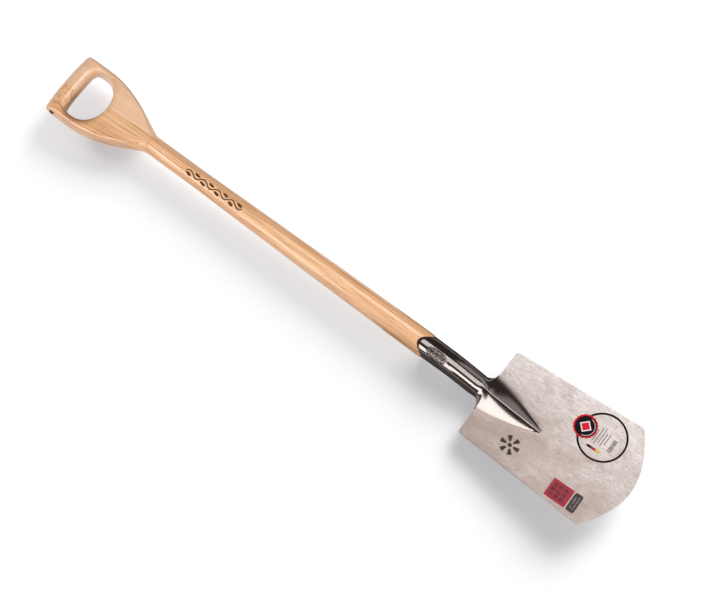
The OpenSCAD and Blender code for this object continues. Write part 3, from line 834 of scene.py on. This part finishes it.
def burntVine(m):
    # a wavy stem with a leaf in each bend, burnt into the shaft
    x, y = flatCoords(m, *vine["at"])
    wave = m.math("SINE", m.both(x, math.pi / vine["step"]))
    stem = m.math("ABSOLUTE", m.math("SUBTRACT", y, m.both(wave, vine["swing"])))
    stem = m.span(stem, *vine["stem"], 1, 0)
    cell = m.math("SUBTRACT", m.math("FRACT", m.math("DIVIDE", x, vine["step"])), 0.5)
    rise = m.math("SUBTRACT", y, m.both(m.math("SIGN", wave), -vine["swing"]))
    along = m.math("ADD", m.both(cell, vine["step"]), m.both(rise, vine["leafLean"]))
    u, v = m.math("DIVIDE", along, vine["leaf"][0]), m.math("DIVIDE", rise, vine["leaf"][1])
    leaf = m.span(radiusOf(m, u, v), *vine["leafEdge"], 1, 0)
    height = m.add("SeparateXYZ", {0: m.add("TexCoord").outputs["Object"]}).outputs[2]
    inside = m.both(within(m, x, -vine["half"], vine["half"]), m.math("GREATER_THAN", height, originZ))
    return m.both(m.either(stem, leaf), inside)


def ashMaterial(name, tones, withVine=False):
    m = Recipe(name)
    grown = m.add("Attribute", attribute_name="grain").outputs["Vector"]
    grown = m.add("Mapping", {"Vector": grown, "Location": tones["shift"]}).outputs[0]
    wander, reach = m.pattern(grown, *wanderPattern), ashGloss["drift"]
    drift = m.add("CombineXYZ", {"Y": m.span(wander, 0, 1, -reach, reach),
                                 "Z": m.span(wander, 0, 1, reach, -reach)})
    bent = m.add("VectorMath", {0: grown, 1: drift.outputs[0]}, operation="ADD").outputs[0]
    broad, streak, line, pores = [m.pattern(bent, *spec) for spec in ashPatterns.values()]
    mottle, lines = m.pattern(grown, *mottlePattern), tones["lines"]
    colour = m.blend(m.span(broad, 0.32, 0.68), tone(*tones["mid"]), tone(*tones["light"]))
    colour = m.layers(colour, [(mottle, 0.4, 0.7, 0.3, tones["mid"]),
                               (streak, 0.44, 0.7, lines * 1.4, tones["dark"]),
                               (line, 0.54, 0.66, lines, tones["pore"]),
                               (pores, 0.6, 0.8, lines * 0.8, tones["pore"])])
    # painted shade: the wood is darker round the hand hole and along the grip's right edge
    paintedShade = m.add("Attribute", attribute_name="paintedShade").outputs["Fac"]
    colour = m.blend(m.both(paintedShade, ashGloss["paintedShadeStrength"]), colour, tone(*tones["paintedShade"]))
    gloss = dict(Coat_Weight=ashGloss["coat"])
    if withVine:  # charred wood has no shine
        char = m.both(burntVine(m), m.span(pores, 0.3, 0.6, *vine["strength"]))
        colour = m.blend(char, colour, tone(*vine["char"]))
        gloss = dict(Coat_Weight=m.span(char, 0, 0.9, ashGloss["coat"], 0),
                     Specular_IOR_Level=m.span(char, 0, 0.9, 0.5, 0))
    height = m.math("ADD", m.both(streak, 0.6), m.both(pores, -0.5))
    normal = m.bump(height, ashGloss["relief"], ashGloss["reliefDepth"])
    return m.finish(Base_Color=colour, Roughness=m.span(streak, 0.2, 0.8, *ashGloss["rough"]), IOR=1.5,
                    Coat_Roughness=ashGloss["coatRough"], Coat_IOR=1.5, Normal=normal, **gloss)


fixings = dict(tone=(96, 88, 82), shade=0.7, rough=(0.35, 0.5), mottle=(900.0, 3.0, 0.6), relief=0.3,
               depth=0.0001)


def plainSteel(name):
    m = Recipe(name)
    mottle = m.noise(m.add("TexCoord").outputs["Object"], *fixings["mottle"])
    shade = tone(*[c * fixings["shade"] for c in fixings["tone"]])
    return m.finish(Base_Color=m.blend(m.span(mottle, 0.3, 0.7), tone(*fixings["tone"]), shade), Metallic=1.0,
                    Roughness=m.span(mottle, 0.3, 0.7, *fixings["rough"]),
                    Normal=m.bump(mottle, fixings["relief"], fixings["depth"]))


def dress(obj, mat, node):
    obj.data.materials.clear()
    obj.data.materials.append(mat)
    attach(obj, "root")
    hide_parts(node)


dress(blade, steelMaterial("bladeSteel", True), "blade")
dress(strap, steelMaterial("strapSteel", False), "back_strap")
dress(ash, ashMaterial("ashWood", ashTones["shaft"], True), "shaft")
dress(cheek, ashMaterial("paleAshWood", ashTones["cheek"]), "grip_cheek")
fixing = plainSteel("fixingSteel")
dress(pin, fixing, "grip_pin")
dress(upperScrew, fixing, "screw_upper")
dress(lowerScrew, fixing, "screw_lower")


# each label: its middle on the blade, what is drawn on it in millimetres from there, and its tones
ringLabel = dict(
    at=(190, 46), film=(236, 228, 226), clear=0.07, ring=(37.9, 41.2),
    lines=((-12, 8), (-16, 14), (-10, 16), (-14, 10), (-8, 12)), firstLine=-12, lineWidth=1.2, lineStep=5,
    lineStrength=0.85, ticks=(17, 24, -14, 8), tickWave=2.6, tickLevel=-0.1, bar=(-14, 10, -25.5, -21.5),
    thirds=(-6, 2), thirdSoft=0.2, inks=((10, 7, 7), (176, 30, 36), (214, 172, 60)), specular=0.1, rough=0.3,
)
sealLabel = dict(
    at=(158, 46), rim=(196, 16, 34), field=(10, 6, 8), fieldRadius=17.4, arc=(14.6, 15.6), arcStart=(1, 3),
    arcTone=(196, 192, 196), border=11.0, borderTone=(224, 216, 218), lozenge=8.4, lozengeTone=(204, 22, 44),
    specular=0.15, rough=0.32,
)
squareLabel = dict(
    at=(185.25, -70.4), film=(160, 42, 58), block=(60, 46, 44), rows=(-15, -5, 5), columns=(-13, -4, 5),
    size=(7.5, 7), soft=1.4, rubbed=(260.0, 3.0, 0.6), specular=0.35, rough=0.36,
)
stripLabel = dict(
    at=(214.25, -70.4), film=(62, 52, 55), line=(168, 158, 158),
    lines=((-4, -1.2, -11, 11), (1.2, 4, -13, 13)), soft=0.5, rubbed=(420.0, 2.0, 0.6), strength=0.6,
    specular=0.35, rough=0.36,
)


def roundFilmMaterial():
    m = Recipe("clearFilm")
    x, y = flatCoords(m, *ringLabel["at"])
    ring = within(m, radiusOf(m, x, y), *ringLabel["ring"])
    wave = m.math("SINE", m.math("ADD", m.both(y, ringLabel["tickWave"]), m.math("SINE", y)))
    lines = m.both(boxMask(m, x, y, ringLabel["ticks"]), m.math("GREATER_THAN", wave, ringLabel["tickLevel"]))
    for k, (lo, hi) in enumerate(ringLabel["lines"]):
        left = ringLabel["firstLine"] + ringLabel["lineStep"] * k
        lines = m.either(lines, boxMask(m, x, y, (left, left + ringLabel["lineWidth"], lo, hi)))
    bar = boxMask(m, x, y, ringLabel["bar"])
    printed = m.either(ring, m.either(m.both(lines, ringLabel["lineStrength"]), bar))
    ink, soft = tone(*ringLabel["inks"][0]), ringLabel["thirdSoft"]
    for start, paint in zip(ringLabel["thirds"], ringLabel["inks"][1:]):
        ink = m.blend(m.both(bar, m.span(x, start - soft, start + soft)), ink, tone(*paint))
    return m.finish(Base_Color=m.blend(printed, tone(*ringLabel["film"]), ink), Roughness=ringLabel["rough"],
                    Specular_IOR_Level=ringLabel["specular"], Alpha=m.either(printed, ringLabel["clear"]))


def sealMaterial():
    m = Recipe("redSealFilm")
    x, y = flatCoords(m, *sealLabel["at"])
    r = radiusOf(m, x, y)
    diamond = m.math("ADD", m.math("ABSOLUTE", x), m.math("ABSOLUTE", y))
    field = within(m, r, -1, sealLabel["fieldRadius"])
    colour = m.blend(field, tone(*sealLabel["rim"]), tone(*sealLabel["field"]))
    arc = m.both(within(m, r, *sealLabel["arc"]), m.span(x, *sealLabel["arcStart"]))
    colour = m.blend(arc, colour, tone(*sealLabel["arcTone"]))
    for size in ("border", "lozenge"):
        colour = m.blend(within(m, diamond, -1, sealLabel[size]), colour, tone(*sealLabel[size + "Tone"]))
    return m.finish(Base_Color=colour, Roughness=sealLabel["rough"], Specular_IOR_Level=sealLabel["specular"])


def squareMaterial():
    m = Recipe("redFilm")
    x, y = flatCoords(m, *squareLabel["at"])
    rubbed = m.noise(m.add("TexCoord").outputs["Object"], *squareLabel["rubbed"])
    blocks = 0.0
    for low in squareLabel["rows"]:
        for side in squareLabel["columns"]:
            box = (low, low + squareLabel["size"][0], side, side + squareLabel["size"][1])
            blocks = m.either(blocks, boxMask(m, x, y, box, squareLabel["soft"]))
    dark = m.both(blocks, m.span(rubbed, 0.36, 0.6, 0.35, 1.0))
    return m.finish(Base_Color=m.blend(dark, tone(*squareLabel["film"]), tone(*squareLabel["block"])),
                    Roughness=squareLabel["rough"], Specular_IOR_Level=squareLabel["specular"])


def stripMaterial():
    m = Recipe("darkFilm")
    x, y = flatCoords(m, *stripLabel["at"])
    rubbed = m.noise(m.add("TexCoord").outputs["Object"], *stripLabel["rubbed"])
    lines = m.either(*[boxMask(m, x, y, box, stripLabel["soft"]) for box in stripLabel["lines"]])
    drawn = m.both(lines, m.span(rubbed, 0.4, 0.6, 0.0, stripLabel["strength"]))
    return m.finish(Base_Color=m.blend(drawn, tone(*stripLabel["film"]), tone(*stripLabel["line"])),
                    Roughness=stripLabel["rough"], Specular_IOR_Level=stripLabel["specular"])


dress(roundFilm, roundFilmMaterial(), "ring_label")
dress(seal, sealMaterial(), "seal_label")
dress(squareFilm, squareMaterial(), "square_label")
dress(stripFilm, stripMaterial(), "strip_label")
print("materials on")


# floor, lights and sky

stage = dict(floorSize=30, floorDrop=0.0003, floorTone=0.82, floorRough=0.9, floorGlow=0.42,
             glowTone=(0.955, 0.955, 0.99, 1))
bpy.ops.mesh.primitive_plane_add(size=stage["floorSize"], location=(0, 0, -stage["floorDrop"]))
floor = named("floor")
paint = Recipe("floorPaint")
rays = paint.add("LightPath").outputs
seen = paint.either(rays["Is Camera Ray"], paint.either(rays["Is Glossy Ray"], rays["Is Transmission Ray"]))
paint.finish(Base_Color=(stage["floorTone"],) * 3 + (1,), Roughness=stage["floorRough"],
             Specular_IOR_Level=0.0)
glow = paint.add("Emission", {"Color": stage["glowTone"], "Strength": 1.0}).outputs[0]
mix = paint.add("MixShader", {0: paint.both(seen, stage["floorGlow"]), 1: paint.shader.outputs[0], 2: glow})
paint.feed(paint.tree.nodes["Material Output"], "Surface", mix.outputs[0])
floor.data.materials.append(paint.mat)
floor.visible_diffuse = False  # the sky below the horizon gives the spade its light from underneath

# cards under the socket, seen only as reflections: each one's tone, and how far it reaches to each side
cards = dict(leftCard=(0.45, -0.65, 0.0), rightCard=(0.3, 0.0, 0.65))
cardSpot = dict(along=0.26, length=0.34, lift=0.0006, rough=0.9)
for name, (shade, low, high) in cards.items():
    spot = (cardSpot["along"], (low + high) / 2, cardSpot["lift"])
    bpy.ops.mesh.primitive_plane_add(size=1, location=spot)
    card = named(name)
    for v in card.data.vertices:
        v.co = (v.co.x * cardSpot["length"], v.co.y * (high - low), 0)
    plain = Recipe(name + "Paint").finish(Base_Color=(shade,) * 3 + (1,), Roughness=cardSpot["rough"])
    card.data.materials.append(plain)
    card.visible_camera = card.visible_diffuse = card.visible_shadow = card.visible_transmission = False

# flags in the grip, seen by the suns alone: one closes the hand hole, one darkens the shadow's heart
flags = dict(holeFlag=dict(middle=58, half=(36, 40)), heartFlag=dict(middle=116, half=(46, 34)))
for name, size in flags.items():
    bpy.ops.mesh.primitive_circle_add(vertices=48, radius=0.001, fill_type="NGON",
                                      location=place((buttX + size["middle"], 0, 0)))
    flag = named(name)
    for v in flag.data.vertices:
        v.co = (v.co.x * size["half"][0], v.co.y * size["half"][1], 0)
    flag.visible_camera = flag.visible_diffuse = flag.visible_glossy = flag.visible_transmission = False


def group(name, objs):
    made = bpy.data.collections.new(name)
    for obj in objs:
        made.objects.link(obj)
    return made


floorGroup = group("floorGroup", [floor])
steelGroup = group("steelGroup", [blade, strap, upperScrew, lowerScrew,
                                  roundFilm, seal, squareFilm, stripFilm])
woodGroup = group("woodGroup", [ash, cheek, pin])
spadeGroup = group("spadeGroup", [*steelGroup.objects, *woodGroup.objects])
castGroup = group("castGroup", [bpy.data.objects["holeFlag"], *spadeGroup.objects])
heartGroup = group("heartGroup", [bpy.data.objects["heartFlag"], *steelGroup.objects])

# each lamp: where it stands, what it faces, its sides and its brightness;
# a matt one gives no reflections, and a shine one nothing else
lamps = dict(
    overhead=dict(at=(0.56, -0.06, 1.62), aim=(0.56, -0.02, 0.0), size=(1.24, 1.04), glow=1.28,
                  on=spadeGroup),
    leftSocket=dict(at=(0.13, -1.37, 0.85), aim=(0.13, 0, 0.85), size=(0.42, 0.9), glow=2.2,
                    kind="shine", on=steelGroup),
    leftRidge=dict(at=(0.84, -1.37, 1.19), aim=(0.84, 0, 1.19), size=(1.0, 0.82), glow=2.3,
                   kind="shine", on=steelGroup),
    rightLow=dict(at=(1.19, 1.5, 1.5), aim=(1.19, 0, 1.5), size=(1.44, 1.9), glow=0.36,
                  kind="shine", on=steelGroup),
    leftBack=dict(at=(-0.66, -1.37, 0.84), aim=(-0.66, 0, 0.03), size=(0.76, 0.6), glow=6.5,
                  kind="shine", on=woodGroup),
    smallTop=dict(at=(-0.08, 0.50, 1.5), aim=(-0.08, 0, 0.03), size=(0.36, 0.22), glow=14.0,
                  kind="shine", on=woodGroup),
    softLeft=dict(at=(-0.8, -1.35, 0.85), aim=(-0.35, 0.0, 0), size=(1.4, 1.2), glow=4.4,
                  kind="matt", on=spadeGroup),
    softRight=dict(at=(0.45, 0.7, 1.4), aim=(0.2, 0.0, 0), size=(1.2, 1.0), glow=4.2,
                   kind="matt", on=spadeGroup),
)
for name, lamp in lamps.items():
    aim = (Vector(lamp["aim"]) - Vector(lamp["at"])).to_track_quat("-Z", "Y")
    bpy.ops.object.light_add(type="AREA", location=lamp["at"], rotation=aim.to_euler())
    box = named(name)
    box.data.shape = "RECTANGLE"
    box.data.size, box.data.size_y = lamp["size"]
    box.data.energy = lamp["glow"] * math.pi * lamp["size"][0] * lamp["size"][1]
    box.light_linking.receiver_collection = lamp["on"]
    box.light_linking.blocker_collection = spadeGroup
    box.visible_glossy = lamp.get("kind") != "matt"
    box.visible_diffuse = lamp.get("kind") != "shine"

# the floor has suns of its own: one for the long soft shadow, and one for the darker heart of it
# below the blade and the grip
suns = dict(lowSun=dict(height=27, wide=34, strength=4.5, cast=castGroup),
            wideSun=dict(height=30, wide=56, strength=3.2, cast=heartGroup))
for name, lamp in suns.items():
    bpy.ops.object.light_add(type="SUN", rotation=(math.radians(lamp["height"] - 90), 0, 0))
    sun = named(name)
    sun.data.angle = math.radians(lamp["wide"])
    sun.data.energy = lamp["strength"]
    sun.light_linking.receiver_collection = floorGroup
    sun.light_linking.blocker_collection = lamp["cast"]

# the sky is dark overhead and paler to both sides, and the ground below it is grey
skyTones = dict(middle=(0.05, 0.043, 0.038, 1), sides=(0.45, 0.44, 0.43, 1), ground=(0.34, 0.33, 0.32, 1),
                turn=(0.3, 0.6))
world = bpy.data.worlds.new("studio")
bpy.context.scene.world = world
sky = Recipe("sky", world)
way = sky.add("SeparateXYZ", {0: sky.add("TexCoord").outputs["Generated"]}).outputs
turned = sky.span(sky.math("ABSOLUTE", way[0]), *skyTones["turn"])
shade = sky.blend(turned, skyTones["middle"], skyTones["sides"])
shade = sky.blend(sky.math("LESS_THAN", way[2], 0.0), shade, skyTones["ground"])
sky.feed(sky.tree.nodes["Background"], "Color", shade)
print("stage lit")
